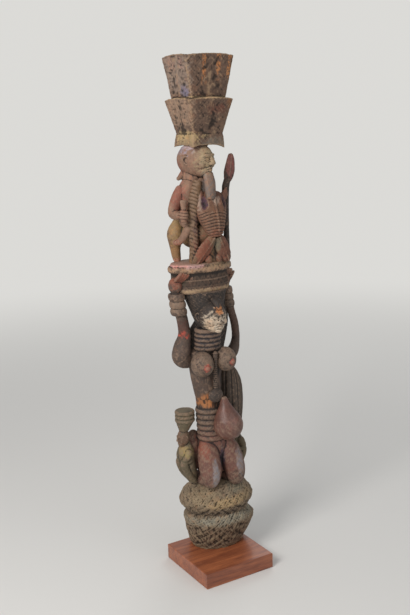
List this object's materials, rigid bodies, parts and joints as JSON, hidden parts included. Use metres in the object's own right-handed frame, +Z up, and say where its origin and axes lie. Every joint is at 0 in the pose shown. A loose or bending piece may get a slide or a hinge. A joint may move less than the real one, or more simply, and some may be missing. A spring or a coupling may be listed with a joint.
{
  "type": "carved veranda post",
  "caption": "Carved wooden veranda post: a kneeling woman holds up a drum with a horse and rider, under a square flared capital, on a plain square plinth.",
  "frame": {"origin": "middle of the plinth's underside", "axes": "+Z up the post from the plinth to the capital, +X to the figures' left, -Y the way the figures face"},
  "size_m": [0.2807, 0.261, 1.557],
  "materials": {
    "carved_wood": "worn, with remains of paint",
    "plinth_wood": "satin varnish"
  },
  "bodies": {
    "root": {"carved_post": "carved_wood", "plinth": "plinth_wood"}
  },
  "joints": []
}
